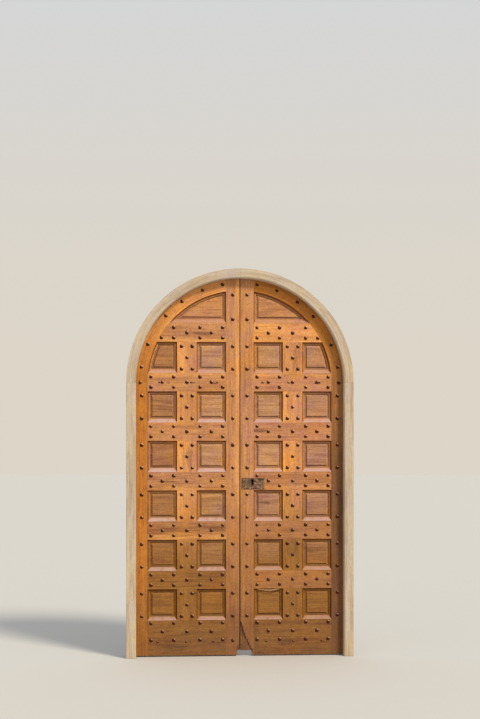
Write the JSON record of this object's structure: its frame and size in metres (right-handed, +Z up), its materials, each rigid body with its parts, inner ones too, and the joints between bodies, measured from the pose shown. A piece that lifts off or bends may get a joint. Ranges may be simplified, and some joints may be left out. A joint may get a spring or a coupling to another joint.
{
  "type": "arched wooden door",
  "caption": "Round-headed double-leaf oak door with raised panels and forged studs, on strap hinges in an arched frame, with slide bolts and a rim lock behind.",
  "frame": {"origin": "centre of the whole door's footprint, at the threshold", "axes": "+X to the right seen from outside, +Y into the building, +Z up"},
  "size_m": [1.502, 0.1544, 2.561],
  "materials": {
    "leaf_oak": "oiled oak, weathered",
    "panel_oak": "oiled oak, greyed",
    "moulding_oak": "oiled oak, bleached on the slopes",
    "lining_oak": "bare oak",
    "frame_oak": "oiled oak",
    "weathered_oak": "grey, scratched",
    "forged_iron": "dark brown patina"
  },
  "bodies": {
    "frame": {"left_jamb": "frame_oak", "right_jamb": "frame_oak", "left_arch_segment": "frame_oak", "right_arch_segment": "frame_oak", "pintles": "forged_iron", "top_bolt_keeper": "forged_iron"},
    "left_leaf": {"left_hinge_stile": "leaf_oak", "left_arch_rail": "leaf_oak", "left_meeting_stile": "leaf_oak", "left_rail_1": "leaf_oak", "left_rail_2": "leaf_oak", "left_rail_3": "leaf_oak", "left_rail_4": "leaf_oak", "left_rail_5": "leaf_oak", "left_rail_6": "leaf_oak", "left_bottom_rail": "leaf_oak", "left_muntins": "leaf_oak", "left_arch_panel": "panel_oak", "left_panels_row_1": "panel_oak", "left_panels_row_2": "panel_oak", "left_panels_row_3": "panel_oak", "left_panels_row_4": "panel_oak", "left_panels_row_5": "panel_oak", "left_panels_row_6": "panel_oak", "left_mouldings": "moulding_oak", "left_lining_boards": "lining_oak", "left_studs_and_bolts": "forged_iron", "left_upper_strap": "forged_iron", "left_lower_strap": "forged_iron", "lock_keeper": "forged_iron", "bolt_guides": "forged_iron"},
    "right_leaf": {"right_hinge_stile": "leaf_oak", "right_arch_rail": "leaf_oak", "right_meeting_stile": "leaf_oak", "right_rail_1": "leaf_oak", "right_rail_2": "leaf_oak", "right_rail_3": "leaf_oak", "right_rail_4": "leaf_oak", "right_rail_5": "leaf_oak", "right_rail_6": "leaf_oak", "right_bottom_rail": "leaf_oak", "right_muntins": "leaf_oak", "right_arch_panel": "panel_oak", "right_panels_row_1": "panel_oak", "right_panels_row_2": "panel_oak", "right_panels_row_3": "panel_oak", "right_panels_row_4": "panel_oak", "right_panels_row_5": "panel_oak", "right_panels_row_6": "panel_oak", "right_mouldings": "moulding_oak", "right_lining_boards": "lining_oak", "right_studs_and_bolts": "forged_iron", "right_upper_strap": "forged_iron", "right_lower_strap": "forged_iron", "right_split_foot": "leaf_oak", "lock_patch": "weathered_oak", "lock_case": "forged_iron"},
    "lock_bolt": {"lock_bolt": "forged_iron"},
    "top_bolt": {"top_bolt": "forged_iron"},
    "bottom_bolt": {"bottom_bolt": "forged_iron"}
  },
  "joints": [
    {"name": "left_leaf_hinge", "type": "hinge", "parent": "frame", "child": "left_leaf", "pos_m": [-0.72505, 0.04215, 1.2], "axis": [0, 0, 1], "range_deg": [0, 95]},
    {"name": "right_leaf_hinge", "type": "hinge", "parent": "frame", "child": "right_leaf", "pos_m": [0.72505, 0.04215, 1.2], "axis": [0, 0, -1], "range_deg": [0, 95]},
    {"name": "lock_bolt_slide", "type": "slide", "parent": "right_leaf", "child": "lock_bolt", "axis": [-1, 0, 0], "range_m": [0, 0.025]},
    {"name": "top_bolt_slide", "type": "slide", "parent": "left_leaf", "child": "top_bolt", "axis": [0, 0, 1], "range_m": [0, 0.035]},
    {"name": "bottom_bolt_slide", "type": "slide", "parent": "left_leaf", "child": "bottom_bolt", "axis": [0, 0, -1], "range_m": [0, 0.035]}
  ]
}
